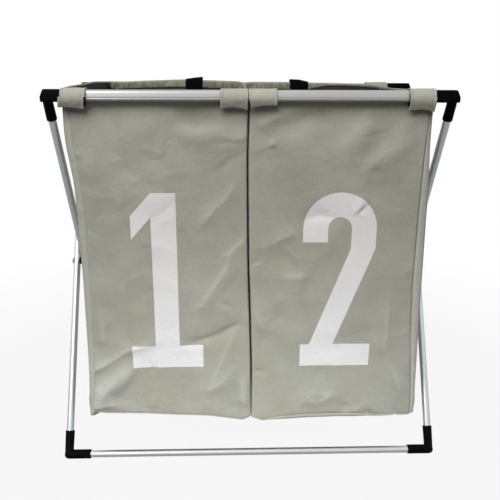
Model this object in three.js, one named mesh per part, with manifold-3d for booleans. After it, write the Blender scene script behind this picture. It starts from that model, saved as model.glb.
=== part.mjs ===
// A folding laundry hamper: two crossed aluminium frames that carry two fabric bags side by side.
// Millimetres, +Z up, the front towards -Y, the origin on the floor under the middle of the hamper.
import * as THREE from "three";
import { mergeVertices } from "three/addons/utils/BufferGeometryUtils.js";
import Module from "manifold-3d";

const wasm = await Module();
wasm.setup();

// Frame
const barRise = 608; // bottom bar axis to top bar axis, upright
const barSpread = 318; // front bar axis to back bar axis
const innerHalfWidth = 301; // leg axis of the inner frame, from the middle
const fitGap = 0.3; // clearance between pieces that touch

// Round tubes: all four legs and the two bottom bars
const tubeDiameter = 12;
const tubeWall = 1;

// Top bar profile, a hollow extrusion with one groove along each face
const topBarHeight = 17;
const topBarDepth = 14;
const topBarWall = 1.3;
const topBarCorner = 3.2;
const grooveDrop = 3.2; // groove middle, below the bar axis
const grooveHeight = 1.6;
const grooveDepth = 0.7;

// Plastic elbows
const sleeveDiameter = 15.6; // mouth of the sleeve round a tube
const sleeveNeckDiameter = 14.4; // the same sleeve at the corner
const sleeveLength = 40; // corner to mouth, along the leg
const sleeveArmLength = 38; // corner to mouth, along a bottom bar
const tubeSeat = 14; // corner to the end of the tube inside the elbow
const floorFlat = 0.5; // depth of the flat on which a bottom elbow stands
const armHeight = 18.2; // block along a top bar
const armDepth = 15.2;
const armCorner = 3;
const armLength = 39; // corner to the end of the block
const armReach = 7.9; // corner to the outer face of the block
const armChamferWidth = 4.6;
const armChamferHeight = 10.4;
const spigotLength = 22; // plug inside the top bar

// Pivots
const boltDiameter = 5;
const boltHeadDiameter = 11;
const boltHeadHeight = 3;
const boltHeadEdge = 1; // height of the straight edge under the domed head
const washerDiameter = 13;
const washerThickness = 2.4;
const nutWidth = 8; // across the flats
const nutHeight = 3.6;

// Bags
const bagShift = -3; // both bags sit this far off the middle of the bars
const bagSideRoom = 25; // inner frame's leg axis to the outer side of a bag that isn't shifted
const bagGap = 2; // between the two bags
const bagFloorHeight = 72; // floor to the underside of a bag
const bagWall = 1.6;
const bagCorner = 9; // radius of the upright edges
const bagFootRound = 8; // radius round the bottom
const bagSideBelly = 3; // how far the outer side swells at mid height
const frontRimRise = 6; // rim above the bar axis, at the front
const backRimRise = 10; // the same at the back
const rimSag = 4; // dip of the rim half way along a side

// Loops of fabric round the top bars
const loopWidth = 40;
const loopThickness = 1.6;
const loopDrop = 21.5; // bar axis to the lower end of the loop
const loopCorner = 3.4;
const loopInset = 0.8; // bag edge to the nearest loop edge

// Webbing straps over the back rim
const strapWidth = 34;
const strapThickness = 1.6;
const strapPlaceShare = 0.378; // of a bag's width, its inner side to the middle of the strap
const strapRise = 16; // bar axis to the top of the strap
const strapInnerDrop = 12; // bar axis to the end inside the bag
const strapOuterDrop = 24; // bar axis to the end behind the bag
const strapCorner = 4;

// Facets
const tubeFacets = 24;
const smallFacets = 18;
const cornerFacets = 3;
const bagLevelShares = [0.12, 0.3, 0.5, 0.7, 0.88];

const outerHalfWidth = innerHalfWidth + tubeDiameter + washerThickness + 2 * fitGap;
const floorAxis = sleeveDiameter / 2 - floorFlat; // bottom bar axis above the floor
const topAxis = floorAxis + barRise;
const pivotHeight = floorAxis + barRise / 2;
const legLean = Math.atan2(barSpread, barRise);
const legSpan = Math.hypot(barSpread, barRise);
const bagWidth = innerHalfWidth - bagSideRoom - bagGap / 2;
const clothFace = barSpread / 2 - armDepth / 2 - loopThickness - 2 * fitGap; // outer face of a bag
const strapMiddle = bagGap / 2 + strapPlaceShare * bagWidth; // from the middle of the bags
const overrun = tubeDiameter; // how far a cutter passes the piece that it cuts

const aluminium = { color: 0xc9cac8, roughness: 0.35, metalness: 0.9 };
const blackPlastic = { color: 0x0c0c0e, roughness: 0.45, metalness: 0 };
const zincSteel = { color: 0x8c8d8f, roughness: 0.4, metalness: 0.9 };
const greigeCloth = { color: 0x9b998b, roughness: 0.8, metalness: 0 };
const blackWebbing = { color: 0x101010, roughness: 0.9, metalness: 0 };

// Six times the signed volume of an indexed triangle mesh: negative when its faces point inwards.
function signedVolume(positions, index) {
  const corners = [0, 1, 2].map(() => new THREE.Vector3());
  let sum = 0;
  for (let i = 0; i < index.length; i += 3) {
    corners.forEach((corner, k) => corner.fromArray(positions, 3 * index[i + k]));
    sum += corners[0].dot(corners[1].clone().cross(corners[2]));
  }
  return sum;
}

// Turns a three.js geometry into a manifold-3d solid with its faces pointing out.
function solid(geometry, matrix = new THREE.Matrix4()) {
  const bare = new THREE.BufferGeometry();
  const source = geometry.index ? geometry.toNonIndexed() : geometry;
  bare.setAttribute("position", source.getAttribute("position").clone());
  bare.applyMatrix4(matrix);
  const merged = mergeVertices(bare);
  const triVerts = new Uint32Array(merged.index.array);
  if (signedVolume(merged.attributes.position.array, triVerts) < 0) triVerts.reverse();
  return new wasm.Manifold(
    new wasm.Mesh({ numProp: 3, vertProperties: merged.attributes.position.array, triVerts }),
  );
}

function piece(name, shape, look) {
  const made = shape.getMesh();
  const geometry = new THREE.BufferGeometry();
  geometry.setAttribute("position", new THREE.BufferAttribute(made.vertProperties, 3));
  geometry.setIndex(new THREE.BufferAttribute(made.triVerts, 1));
  geometry.computeVertexNormals();
  const mesh = new THREE.Mesh(geometry, new THREE.MeshStandardMaterial(look));
  mesh.name = name;
  return mesh;
}

const turnToX = new THREE.Matrix4().makeRotationZ(-Math.PI / 2);
const turnToZ = new THREE.Matrix4().makeRotationX(Math.PI / 2);
const leanWithLeg = new THREE.Matrix4().makeRotationX(legLean);
// Stands a section drawn in X and Y upright in Y and Z, so that it is extruded along +X.
const sectionToX = new THREE.Matrix4().makeBasis(
  new THREE.Vector3(0, 1, 0),
  new THREE.Vector3(0, 0, 1),
  new THREE.Vector3(1, 0, 0),
);

function shifted(x, y, z) {
  return new THREE.Matrix4().makeTranslation(x, y, z);
}

// A round bar or cone whose axis is a coordinate axis and which starts at the origin.
function rod(startDiameter, endDiameter, length, turn, facets = tubeFacets) {
  const geometry = new THREE.CylinderGeometry(endDiameter / 2, startDiameter / 2, length, facets);
  return geometry.translate(0, length / 2, 0).applyMatrix4(turn);
}

function roundedRectangle(width, height, radius) {
  const [right, top] = [width / 2, height / 2];
  const shape = new THREE.Shape();
  shape.absarc(right - radius, top - radius, radius, 0, Math.PI / 2);
  shape.absarc(radius - right, top - radius, radius, Math.PI / 2, Math.PI);
  shape.absarc(radius - right, radius - top, radius, Math.PI, 1.5 * Math.PI);
  shape.absarc(right - radius, radius - top, radius, 1.5 * Math.PI, 2 * Math.PI);
  return shape;
}

function extruded(shape, length, start = 0) {
  const geometry = new THREE.ExtrudeGeometry(shape, {
    depth: length,
    bevelEnabled: false,
    curveSegments: cornerFacets,
  });
  return solid(geometry, sectionToX.clone().premultiply(shifted(start, 0, 0)));
}

// A closed outline through corner points, each rounded by the radius given with it.
function roundedOutline(corners) {
  const shape = new THREE.Shape();
  corners.forEach(([x, y, radius], i) => {
    const here = new THREE.Vector2(x, y);
    const before = new THREE.Vector2(...corners.at(i - 1));
    const after = new THREE.Vector2(...corners[(i + 1) % corners.length]);
    const toBefore = before.sub(here).normalize();
    const toAfter = after.sub(here).normalize();
    const halfAngle = toBefore.angleTo(toAfter) / 2;
    const reach = radius / Math.tan(halfAngle);
    const start = toBefore.multiplyScalar(reach).add(here);
    const end = toAfter.multiplyScalar(reach).add(here);
    if (i === 0) shape.moveTo(start.x, start.y);
    else shape.lineTo(start.x, start.y);
    if (radius > 0) shape.quadraticCurveTo(here.x, here.y, end.x, end.y);
  });
  shape.closePath();
  return shape;
}

function hollowTube(length) {
  const outside = solid(rod(tubeDiameter, tubeDiameter, length, turnToZ));
  const boreDiameter = tubeDiameter - 2 * tubeWall;
  const bore = rod(boreDiameter, boreDiameter, length + 2 * overrun, turnToZ);
  return outside.subtract(solid(bore, shifted(0, 0, -overrun)));
}

function legTube() {
  const length = legSpan - 2 * tubeSeat;
  const holeDiameter = boltDiameter + 2 * fitGap;
  const hole = rod(holeDiameter, holeDiameter, 2 * overrun, turnToX, smallFacets);
  const drill = solid(hole, shifted(-overrun, 0, length / 2));
  return hollowTube(length).subtract(drill);
}

function topBar(halfWidth) {
  const length = 2 * (halfWidth - armLength - fitGap);
  const shape = roundedRectangle(topBarDepth, topBarHeight, topBarCorner);
  let bar = extruded(shape, length, -length / 2);
  for (const face of [-1, 1]) {
    const groove = new THREE.BoxGeometry(length + 2 * overrun, 2 * grooveDepth, grooveHeight);
    const place = shifted(0, (face * topBarDepth) / 2, -grooveDrop);
    bar = bar.subtract(solid(groove, place));
  }
  return bar.subtract(extruded(barBore(), length + 2 * overrun, -length / 2 - overrun));
}

// The inside of the top bar, clear of the grooves.
function barBore(clearance = 0) {
  const width = topBarDepth - 2 * (topBarWall + clearance);
  const height = topBarHeight - 2 * (topBarWall + clearance);
  return roundedRectangle(width, height, topBarCorner - topBarWall);
}

// The bore in which a tube sits in its elbow.
function tubeBore(length, turn) {
  const diameter = tubeDiameter + 2 * fitGap;
  const depth = length - tubeSeat + fitGap + overrun;
  return rod(diameter, diameter, depth, turn).applyMatrix4(boreStart(turn));
}

function boreStart(turn) {
  const step = new THREE.Vector3(0, tubeSeat - fitGap, 0).applyMatrix4(turn);
  return shifted(step.x, step.y, step.z);
}

// Elbow at the +X end of a top bar, with its origin where the bar and leg axes cross.
function topElbow() {
  const turnDown = new THREE.Matrix4().makeRotationX(-Math.PI / 2);
  const block = extruded(
    roundedRectangle(armDepth, armHeight, armCorner),
    armReach + armLength,
    -armLength,
  );
  const sleeve = solid(rod(sleeveNeckDiameter, sleeveDiameter, sleeveLength, turnDown), leanWithLeg);
  const spigot = extruded(barBore(fitGap), spigotLength + armCorner, -armLength - spigotLength);
  const bore = solid(tubeBore(sleeveLength, turnDown), leanWithLeg);
  const chamfer = new THREE.Shape([
    new THREE.Vector2(armReach - armChamferWidth, armHeight / 2),
    new THREE.Vector2(armReach, armHeight / 2 - armChamferHeight),
    new THREE.Vector2(armReach + overrun, armHeight / 2 - armChamferHeight),
    new THREE.Vector2(armReach + overrun, armHeight / 2 + overrun),
    new THREE.Vector2(armReach - armChamferWidth, armHeight / 2 + overrun),
  ]);
  const cutter = new THREE.ExtrudeGeometry(chamfer, {
    depth: armDepth + 2 * overrun,
    bevelEnabled: false,
  });
  const standing = new THREE.Matrix4().makeRotationX(Math.PI / 2);
  const corner = solid(cutter, standing.premultiply(shifted(0, armDepth / 2 + overrun, 0)));
  return block.add(sleeve).subtract(corner).subtract(bore).add(spigot);
}

// Elbow at the +X end of a bottom bar, with the flat on which it stands.
function bottomElbow() {
  const inward = new THREE.Matrix4().makeRotationZ(Math.PI / 2);
  const leg = solid(rod(sleeveNeckDiameter, sleeveDiameter, sleeveLength, turnToZ), leanWithLeg);
  const arm = solid(rod(sleeveDiameter, sleeveDiameter, sleeveArmLength, inward));
  const knuckle = solid(new THREE.SphereGeometry(sleeveDiameter / 2, tubeFacets, tubeFacets / 2));
  const legBore = solid(tubeBore(sleeveLength, turnToZ), leanWithLeg);
  const armBore = solid(tubeBore(sleeveArmLength, inward));
  const floorSize = 2 * (sleeveArmLength + sleeveDiameter);
  const floor = new THREE.BoxGeometry(floorSize, floorSize, sleeveDiameter);
  const under = solid(floor, shifted(0, 0, -floorAxis - sleeveDiameter / 2));
  return arm.add(leg).add(knuckle).subtract(legBore).subtract(armBore).subtract(under);
}

// One folding frame: its top bar is at the front, and its legs lean back and down.
function foldingFrame(halfWidth, names) {
  const group = new THREE.Group();
  const front = -barSpread / 2;
  const back = barSpread / 2;
  const top = piece(names.topBar, topBar(halfWidth), aluminium);
  top.position.set(0, front, topAxis);
  group.add(top);
  const bottomLength = 2 * (halfWidth - tubeSeat);
  const bottom = piece(names.bottomBar, hollowTube(bottomLength), aluminium);
  bottom.rotation.y = Math.PI / 2;
  bottom.position.set(-bottomLength / 2, back, floorAxis);
  group.add(bottom);
  for (const [side, sideName] of names.sides) {
    const leg = piece(names.leg + sideName, legTube(), aluminium);
    leg.rotation.x = legLean;
    const footReach = (legSpan / 2 - tubeSeat) / legSpan;
    leg.position.set(
      side * halfWidth,
      footReach * barSpread,
      pivotHeight - footReach * barRise,
    );
    const high = piece(names.topElbow + sideName, topElbow(), blackPlastic);
    high.position.set(side * halfWidth, front, topAxis);
    const low = piece(names.bottomElbow + sideName, bottomElbow(), blackPlastic);
    low.position.set(side * halfWidth, back, floorAxis);
    for (const elbow of [high, low]) elbow.scale.x = side;
    group.add(leg, high, low);
  }
  return group;
}

// Bolt, spacer washer and nut through both legs where they cross, for the +X side.
function pivotHardware() {
  const innerFace = innerHalfWidth - tubeDiameter / 2 - fitGap;
  const outerFace = outerHalfWidth + tubeDiameter / 2 + fitGap;
  const shankLength = outerFace - innerFace + nutHeight;
  const shank = rod(boltDiameter, boltDiameter, shankLength, turnToX, smallFacets);
  const edge = rod(boltHeadDiameter, boltHeadDiameter, boltHeadEdge, turnToX, smallFacets);
  const domeHeight = boltHeadHeight - boltHeadEdge;
  const dome = rod(boltHeadDiameter, boltDiameter, domeHeight, turnToX, smallFacets);
  const bolt = solid(shank, shifted(innerFace - nutHeight, 0, 0))
    .add(solid(edge, shifted(outerFace, 0, 0)))
    .add(solid(dome, shifted(outerFace + boltHeadEdge, 0, 0)));
  const holeDiameter = boltDiameter + 2 * fitGap;
  const hole = rod(holeDiameter, holeDiameter, 2 * shankLength, turnToX, smallFacets);
  const drill = solid(hole, shifted(innerFace - shankLength, 0, 0));
  const washerStart = innerHalfWidth + tubeDiameter / 2 + fitGap;
  const ring = rod(washerDiameter, washerDiameter, washerThickness, turnToX);
  const washer = solid(ring, shifted(washerStart, 0, 0)).subtract(drill);
  const nutDiameter = nutWidth / Math.cos(Math.PI / 6);
  const hexagon = rod(nutDiameter, nutDiameter, nutHeight, turnToX, 6);
  const nut = solid(hexagon, shifted(innerFace - nutHeight, 0, 0)).subtract(drill);
  return { bolt, washer, nut };
}

// Height of the rim above the bar axis, from the front (0) to the back (1).
function rimRise(depthShare) {
  const sag = rimSag * Math.sin(Math.PI * depthShare);
  return frontRimRise + (backRimRise - frontRimRise) * depthShare - sag;
}

// One level ring of a bag: the points of a rounded rectangle whose outer side swells.
function bagRing(share, inset, lift) {
  const inner = bagGap / 2 + inset;
  const outer = bagGap / 2 + bagWidth - inset;
  const front = inset - clothFace;
  const back = clothFace - inset;
  const radius = bagCorner;
  const belly = bagSideBelly * Math.sin(Math.PI * share);
  const corners = [
    [outer - radius, back - radius],
    [inner + radius, back - radius],
    [inner + radius, front + radius],
    [outer - radius, front + radius],
  ];
  const points = [];
  corners.forEach(([x, y], quarter) => {
    for (let step = 0; step <= cornerFacets; step++) {
      const angle = (quarter + step / cornerFacets) * (Math.PI / 2);
      points.push([x + radius * Math.cos(angle), y + radius * Math.sin(angle)]);
    }
    const next = corners[(quarter + 1) % corners.length];
    const [last] = points.slice(-1);
    const [dx, dy] = [next[0] - x, next[1] - y];
    for (const part of [1 / 4, 1 / 2, 3 / 4]) points.push([last[0] + dx * part, last[1] + dy * part]);
  });
  return points.map(([x, y]) => {
    const depthShare = (y + clothFace) / (2 * clothFace);
    const outward = (x - inner) / (outer - inner);
    const swell = outward > 1 / 2 ? belly * Math.sin(Math.PI * depthShare) : 0;
    const rim = topAxis + rimRise(depthShare);
    const height = bagFloorHeight + lift + (rim - bagFloorHeight - lift) * share;
    return [x + swell, y, height];
  });
}

// A bag on the +X side of the middle: walls, a floor and an open top, as one closed skin.
function bagSolid() {
  const footInset = bagFootRound / 3;
  const outside = [
    bagRing(0, bagFootRound, 0),
    bagRing(0, footInset, footInset),
    ...[0, ...bagLevelShares, 1].map((share) => bagRing(share, 0, bagFootRound * (1 - share))),
  ];
  const innerLift = bagFootRound + bagWall;
  const inside = [
    ...[1, ...bagLevelShares.toReversed(), 0].map((share) =>
      bagRing(share, bagWall, innerLift * (1 - share)),
    ),
    bagRing(0, footInset + bagWall, footInset + bagWall),
    bagRing(0, bagFootRound + bagWall, bagWall),
  ];
  const rings = [...outside, ...inside];
  const count = rings[0].length;
  const middleX = (bagGap + bagWidth) / 2;
  const positions = rings.flat(2);
  positions.push(middleX, 0, bagFloorHeight, middleX, 0, bagFloorHeight + bagWall);
  const index = [];
  for (let ring = 0; ring < rings.length - 1; ring++) {
    for (let i = 0; i < count; i++) {
      const [a, b] = [ring * count + i, ring * count + ((i + 1) % count)];
      index.push(a, b, b + count, a, b + count, a + count);
    }
  }
  const lastRing = (rings.length - 1) * count;
  const [lowMiddle, highMiddle] = [rings.length * count, rings.length * count + 1];
  for (let i = 0; i < count; i++) {
    const next = (i + 1) % count;
    index.push(lowMiddle, next, i, highMiddle, lastRing + i, lastRing + next);
  }
  const geometry = new THREE.BufferGeometry();
  geometry.setAttribute("position", new THREE.Float32BufferAttribute(positions, 3));
  geometry.setIndex(index);
  return solid(geometry);
}

// A loop round the front top bar, closed against the bag below the bar.
function loopSolid() {
  const side = armDepth / 2 + fitGap;
  const top = armHeight / 2 + fitGap;
  const [outSide, outTop] = [side + loopThickness, top + loopThickness];
  const shape = roundedOutline([
    [outSide, outTop, loopCorner],
    [-outSide, outTop, loopCorner],
    [-outSide, -top, loopCorner],
    [side, -loopDrop, 0],
    [outSide, -loopDrop, 0],
  ]);
  shape.holes.push(
    roundedOutline([
      [side, top, loopCorner - loopThickness],
      [side, -loopDrop + 2 * loopThickness, 0],
      [-side, -top, loopCorner - loopThickness],
      [-side, top, loopCorner - loopThickness],
    ]),
  );
  return extruded(shape, loopWidth, -loopWidth / 2);
}

// A strap that stands inside the back rim, passes over the rim and the bar and ends behind the bag.
function strapSolid() {
  const toCloth = clothFace - barSpread / 2; // outer face of the bag, from the bar axis
  const inner = toCloth - bagWall - fitGap;
  const outer = topBarDepth / 2 + fitGap;
  const under = -armHeight / 2;
  const tail = toCloth + fitGap;
  const shape = roundedOutline([
    [outer + strapThickness, strapRise, strapCorner],
    [inner - strapThickness, strapRise, strapCorner],
    [inner - strapThickness, -strapInnerDrop, 0],
    [inner, -strapInnerDrop, 0],
    [inner, strapRise - strapThickness, strapCorner - strapThickness],
    [outer, strapRise - strapThickness, strapCorner - strapThickness],
    [outer, under, strapCorner - strapThickness],
    [tail, -strapOuterDrop + strapThickness, 0],
    [tail, -strapOuterDrop, 0],
    [tail + strapThickness, -strapOuterDrop, 0],
    [outer + strapThickness, under, strapCorner],
  ]);
  return extruded(shape, strapWidth, -strapWidth / 2);
}

const hamper = new THREE.Group();
const sides = [
  [-1, "_left"],
  [1, "_right"],
];

const innerFrame = foldingFrame(innerHalfWidth, {
  topBar: "front_top_bar",
  bottomBar: "back_bottom_bar",
  leg: "inner_leg",
  topElbow: "front_top_elbow",
  bottomElbow: "back_bottom_elbow",
  sides,
});
// The outer frame is the wider one, turned round, so its own +X side is the hamper's left.
const outerFrame = foldingFrame(outerHalfWidth, {
  topBar: "back_top_bar",
  bottomBar: "front_bottom_bar",
  leg: "outer_leg",
  topElbow: "back_top_elbow",
  bottomElbow: "front_bottom_elbow",
  sides: sides.map(([side, sideName]) => [-side, sideName]),
});
outerFrame.rotation.z = Math.PI;
hamper.add(innerFrame, outerFrame);

const bags = new THREE.Group();
bags.position.x = bagShift;
const loopMiddles = [
  ["outer", bagGap / 2 + bagWidth - loopInset - loopWidth / 2],
  ["inner", bagGap / 2 + loopInset + loopWidth / 2],
];
for (const [side, sideName] of sides) {
  const { bolt, washer, nut } = pivotHardware();
  const pivot = new THREE.Group();
  pivot.add(
    piece("pivot_bolt" + sideName, bolt, zincSteel),
    piece("pivot_washer" + sideName, washer, blackPlastic),
    piece("pivot_nut" + sideName, nut, zincSteel),
  );
  pivot.position.z = pivotHeight;
  pivot.scale.x = side;
  hamper.add(pivot);

  const bag = piece("bag" + sideName, bagSolid(), greigeCloth);
  bag.scale.x = side;
  bags.add(bag);
  for (const [place, middle] of loopMiddles) {
    for (const [end, endName] of [
      [1, "front_loop_"],
      [-1, "back_loop_"],
    ]) {
      const loop = piece(endName + place + sideName, loopSolid(), greigeCloth);
      loop.scale.y = end;
      loop.position.set(side * middle, (-end * barSpread) / 2, topAxis);
      bags.add(loop);
    }
  }
  const strap = piece("back_strap" + sideName, strapSolid(), blackWebbing);
  strap.position.set(side * strapMiddle, barSpread / 2, topAxis);
  bags.add(strap);
}
hamper.add(bags);

export default hamper;
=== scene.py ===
import math
import random

import bpy
import numpy as np
from mathutils import Matrix, Vector


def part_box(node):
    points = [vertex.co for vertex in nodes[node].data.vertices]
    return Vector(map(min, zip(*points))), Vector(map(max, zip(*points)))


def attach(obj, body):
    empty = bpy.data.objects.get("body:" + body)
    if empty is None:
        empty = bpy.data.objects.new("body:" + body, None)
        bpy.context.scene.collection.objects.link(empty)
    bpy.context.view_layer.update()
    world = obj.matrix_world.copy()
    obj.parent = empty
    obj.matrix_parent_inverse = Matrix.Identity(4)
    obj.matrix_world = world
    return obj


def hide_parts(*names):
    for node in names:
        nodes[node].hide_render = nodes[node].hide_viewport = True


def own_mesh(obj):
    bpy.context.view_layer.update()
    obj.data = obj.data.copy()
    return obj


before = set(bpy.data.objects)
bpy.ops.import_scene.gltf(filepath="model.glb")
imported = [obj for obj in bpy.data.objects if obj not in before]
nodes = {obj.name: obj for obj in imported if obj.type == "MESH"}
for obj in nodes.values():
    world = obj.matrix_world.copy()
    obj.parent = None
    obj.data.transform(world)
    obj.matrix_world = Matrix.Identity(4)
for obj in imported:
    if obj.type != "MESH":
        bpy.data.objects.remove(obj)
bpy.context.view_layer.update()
mm = 0.001  # everything below is worked out in millimetres
print("frame loaded:", len(nodes), "pieces")


def nodeBox(name):
    low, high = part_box(name)
    return np.array(low) / mm, np.array(high) / mm


def middle(name):
    low, high = nodeBox(name)
    return (low + high) / 2


frontBar = middle("front_top_bar")
backBar = middle("back_top_bar")
bagLow, bagHigh = nodeBox("bag_right")
clothFace = bagHigh[1]  # outer face of a bag, front and back alike
bagFloor = bagLow[2]
legLean = math.atan2(backBar[1] - frontBar[1], frontBar[2] - middle("front_bottom_bar")[2])


# the camera comes first, so that every render is in the photograph's frame
camera = {
    "lens": 44.71,
    "sensor": 36,
    "sees": (0.05, 50),  # nearest and farthest, in metres
    "at": (-0.0322, -1.102, 0.663),
    "turn": 1.823,  # degrees to the right
    "down": 16.83,
    "roll": 0.225,
}


def makeCamera():
    data = bpy.data.cameras.new("photoCamera")
    data.lens, data.sensor_width = camera["lens"], camera["sensor"]
    data.clip_start, data.clip_end = camera["sees"]
    seat = bpy.data.objects.new("photoCamera", data)
    turn = Matrix.Rotation(-math.radians(camera["turn"]), 4, "Z")
    tilt = Matrix.Rotation(math.radians(90 - camera["down"]), 4, "X")
    roll = Matrix.Rotation(math.radians(camera["roll"]), 4, "Z")
    seat.matrix_world = Matrix.Translation(camera["at"]) @ turn @ tilt @ roll
    bpy.context.scene.collection.objects.link(seat)
    bpy.context.scene.camera = seat


makeCamera()
bpy.context.scene.view_settings.view_transform = "Standard"
print("camera set")


# helpers for meshes
def makeMesh(name, points, faces, materials, uv=None):
    mesh = bpy.data.meshes.new(name)
    mesh.from_pydata([tuple(p) for p in np.asarray(points) * mm], [], faces)
    if uv is not None:
        layer = mesh.uv_layers.new(name="cloth")
        layer.uv.foreach_set("vector", np.asarray(uv, np.float32).ravel())
    for material in materials:
        mesh.materials.append(material)
    mesh.polygons.foreach_set("use_smooth", [True] * len(mesh.polygons))
    mesh.update()
    made = bpy.data.objects.new(name, mesh)
    bpy.context.scene.collection.objects.link(made)
    return made


def gridCorners(rows, columns, closed):
    # row and column of the four corners of every face of a grid
    for r in range(rows - 1):
        for c in range(columns if closed else columns - 1):
            d = (c + 1) % columns
            yield (r, c), (r, d), (r + 1, d), (r + 1, c)


def gridFaces(rows, columns, closed=False):
    return [tuple(r * columns + c for r, c in corners) for corners in gridCorners(rows, columns, closed)]


def gridUv(u, v, rows, columns, closed=False, closeAt=0.0):
    flat = []
    for corners in gridCorners(rows, columns, closed):
        last = closed and corners[1][1] == 0
        flat += [(closeAt if last and c == 0 else u[r, c], v[r, c]) for r, c in corners]
    return np.array(flat) * mm


def turnOver(faces, uv):
    # the same faces seen from the other side
    result, at = uv.copy(), 0
    for face in faces:
        size = len(face)
        result[at : at + size] = uv[at : at + size][::-1]
        at += size
    return [tuple(reversed(face)) for face in faces], result


def thicken(made, thickness, inner=0, offset=-1):
    shell = made.modifiers.new("thickness", "SOLIDIFY")
    shell.thickness = thickness * mm
    shell.offset = offset
    shell.material_offset = inner
    shell.use_even_offset = False


def smoothNoise(x, y, size, seed, waves=7):
    chance = random.Random(seed)
    total = np.zeros_like(x, float)
    for _ in range(waves):
        angle, phase = chance.uniform(0, math.pi), chance.uniform(0, 2 * math.pi)
        wave = 2 * math.pi / (size * chance.uniform(0.7, 1.6))
        total += np.sin((x * math.cos(angle) + y * math.sin(angle)) * wave + phase)
    return total / waves


def easedTable(height, pairs, reach=16):
    # a width given at some heights, read at one height and averaged over those around it
    at, width = zip(*pairs)
    steps = np.linspace(-reach, reach, 7)
    return sum(np.interp(height + step, at, width) for step in steps) / len(steps)


def easedRing(values, reach=4):
    wrapped = np.concatenate([values[-reach:], values, values[:reach]])
    return np.convolve(wrapped, np.ones(2 * reach + 1) / (2 * reach + 1), "valid")


def smoothStep(low, high, x):
    t = np.clip((x - low) / (high - low), 0, 1)
    return t * t * (3 - 2 * t)


def walkedLength(steps):
    return np.concatenate([[0], np.cumsum(steps)])


# helpers for materials
def addNode(tree, kind, values=None, **settings):
    node = tree.nodes.new(kind)
    for name, value in settings.items():
        setattr(node, name, value)
    for name, value in (values or {}).items():
        if isinstance(value, bpy.types.NodeSocket):
            tree.links.new(value, node.inputs[name])
        else:
            node.inputs[name].default_value = value
    return node


def calc(tree, operation, *values):
    return addNode(tree, "ShaderNodeMath", dict(enumerate(values)), operation=operation).outputs[0]


def times(tree, a, b):
    return calc(tree, "MULTIPLY", a, b)


def plus(tree, a, b):
    return calc(tree, "ADD", a, b)


def minus(tree, a, b):
    return calc(tree, "SUBTRACT", a, b)


def between(tree, value, low, high):
    return times(tree, calc(tree, "GREATER_THAN", value, low), calc(tree, "LESS_THAN", value, high))


def blendColour(tree, factor, a, b, blend="MIX"):
    values = {0: factor, 6: a, 7: b}
    return addNode(tree, "ShaderNodeMix", values, data_type="RGBA", blend_type=blend).outputs[2]


def rampOf(tree, factor, stops):
    ramp = addNode(tree, "ShaderNodeValToRGB", {0: factor})
    while len(ramp.color_ramp.elements) < len(stops):
        ramp.color_ramp.elements.new(0.5)
    for element, (at, value) in zip(ramp.color_ramp.elements, stops):
        element.position = at
        element.color = (value, value, value, 1) if isinstance(value, (int, float)) else (*value, 1)
    return ramp.outputs[0]


def noise(tree, vector, scale, detail=3, roughness=0.5):
    values = {"Vector": vector, "Scale": scale, "Detail": detail, "Roughness": roughness}
    return addNode(tree, "ShaderNodeTexNoise", values).outputs[0]


def rampUp(tree, value, low, high, bottom=0.0, top=1.0):
    values = {0: value, 1: low, 2: high, 3: bottom, 4: top}
    return addNode(tree, "ShaderNodeMapRange", values, interpolation_type="SMOOTHSTEP").outputs[0]


def mapped(tree, vector, stretch=(1, 1, 1), turn=(0, 0, 0)):
    values = {"Vector": vector, "Scale": stretch, "Rotation": turn}
    return addNode(tree, "ShaderNodeMapping", values, vector_type="POINT").outputs[0]


def place(tree, stretch=(1, 1, 1), turn=(0, 0, 0)):
    return mapped(tree, addNode(tree, "ShaderNodeTexCoord").outputs["Object"], stretch, turn)


def clothPlace(tree):
    # place on the cloth, with its two directions apart
    uv = addNode(tree, "ShaderNodeUVMap", uv_map="cloth").outputs[0]
    split = addNode(tree, "ShaderNodeSeparateXYZ", {0: uv})
    return uv, split.outputs[0], split.outputs[1]


def newMaterial(name):
    material = bpy.data.materials.new(name)
    material.use_nodes = True
    tree = material.node_tree
    return material, tree, tree.nodes["Principled BSDF"]


def colourOf(tree, shader, colour):
    tree.links.new(colour, shader.inputs["Base Color"])


def roughnessOf(tree, shader, pattern, low, high):
    spread = addNode(tree, "ShaderNodeMapRange", {0: pattern, 3: low, 4: high})
    tree.links.new(spread.outputs[0], shader.inputs["Roughness"])


def bumpOf(tree, shader, height, distance, strength=1.0, before=None):
    values = {"Height": height, "Distance": distance, "Strength": strength}
    if before is not None:
        values["Normal"] = before
    bump = addNode(tree, "ShaderNodeBump", values)
    tree.links.new(bump.outputs[0], shader.inputs["Normal"])
    return bump.outputs[0]


metal = {
    # the darker and the lighter colour of each
    "leg": ((0.61, 0.665, 0.68), (0.68, 0.735, 0.745)),  # the round tubes are a shade cooler
    "bar": ((0.67, 0.675, 0.68), (0.74, 0.74, 0.735)),
    "topBar": ((0.48, 0.48, 0.48), (0.53, 0.528, 0.522)),  # and the extruded top bars darker, painted shade for their dimmer reflections
    "roughness": (0.36, 0.46),
    "streak": 900,  # drawing lines across the tube, per metre
    "rub": 22,  # rubbed patches, per metre
    "stretch": 0.012,  # of the lines along the tube
}


def tubeMetal(name, colours, lean=None):
    # satin anodised tube: drawing lines run along it, with faint rubbed patches
    material, tree, shader = newMaterial(name)
    long = metal["stretch"]
    along = place(tree, (long, 1, 1)) if lean is None else place(tree, (1, 1, long), (-lean, 0, 0))
    lines = noise(tree, along, metal["streak"], 2)
    rubs = noise(tree, place(tree), metal["rub"], 4, 0.6)
    marks = plus(tree, times(tree, lines, 0.6), times(tree, rubs, 0.4))
    colourOf(tree, shader, rampOf(tree, marks, list(zip((0.3, 0.6), metal[colours]))))
    roughnessOf(tree, shader, marks, *metal["roughness"])
    shader.inputs["Metallic"].default_value = 1
    bumpOf(tree, shader, lines, 0.00004, 0.5)
    return material


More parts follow.
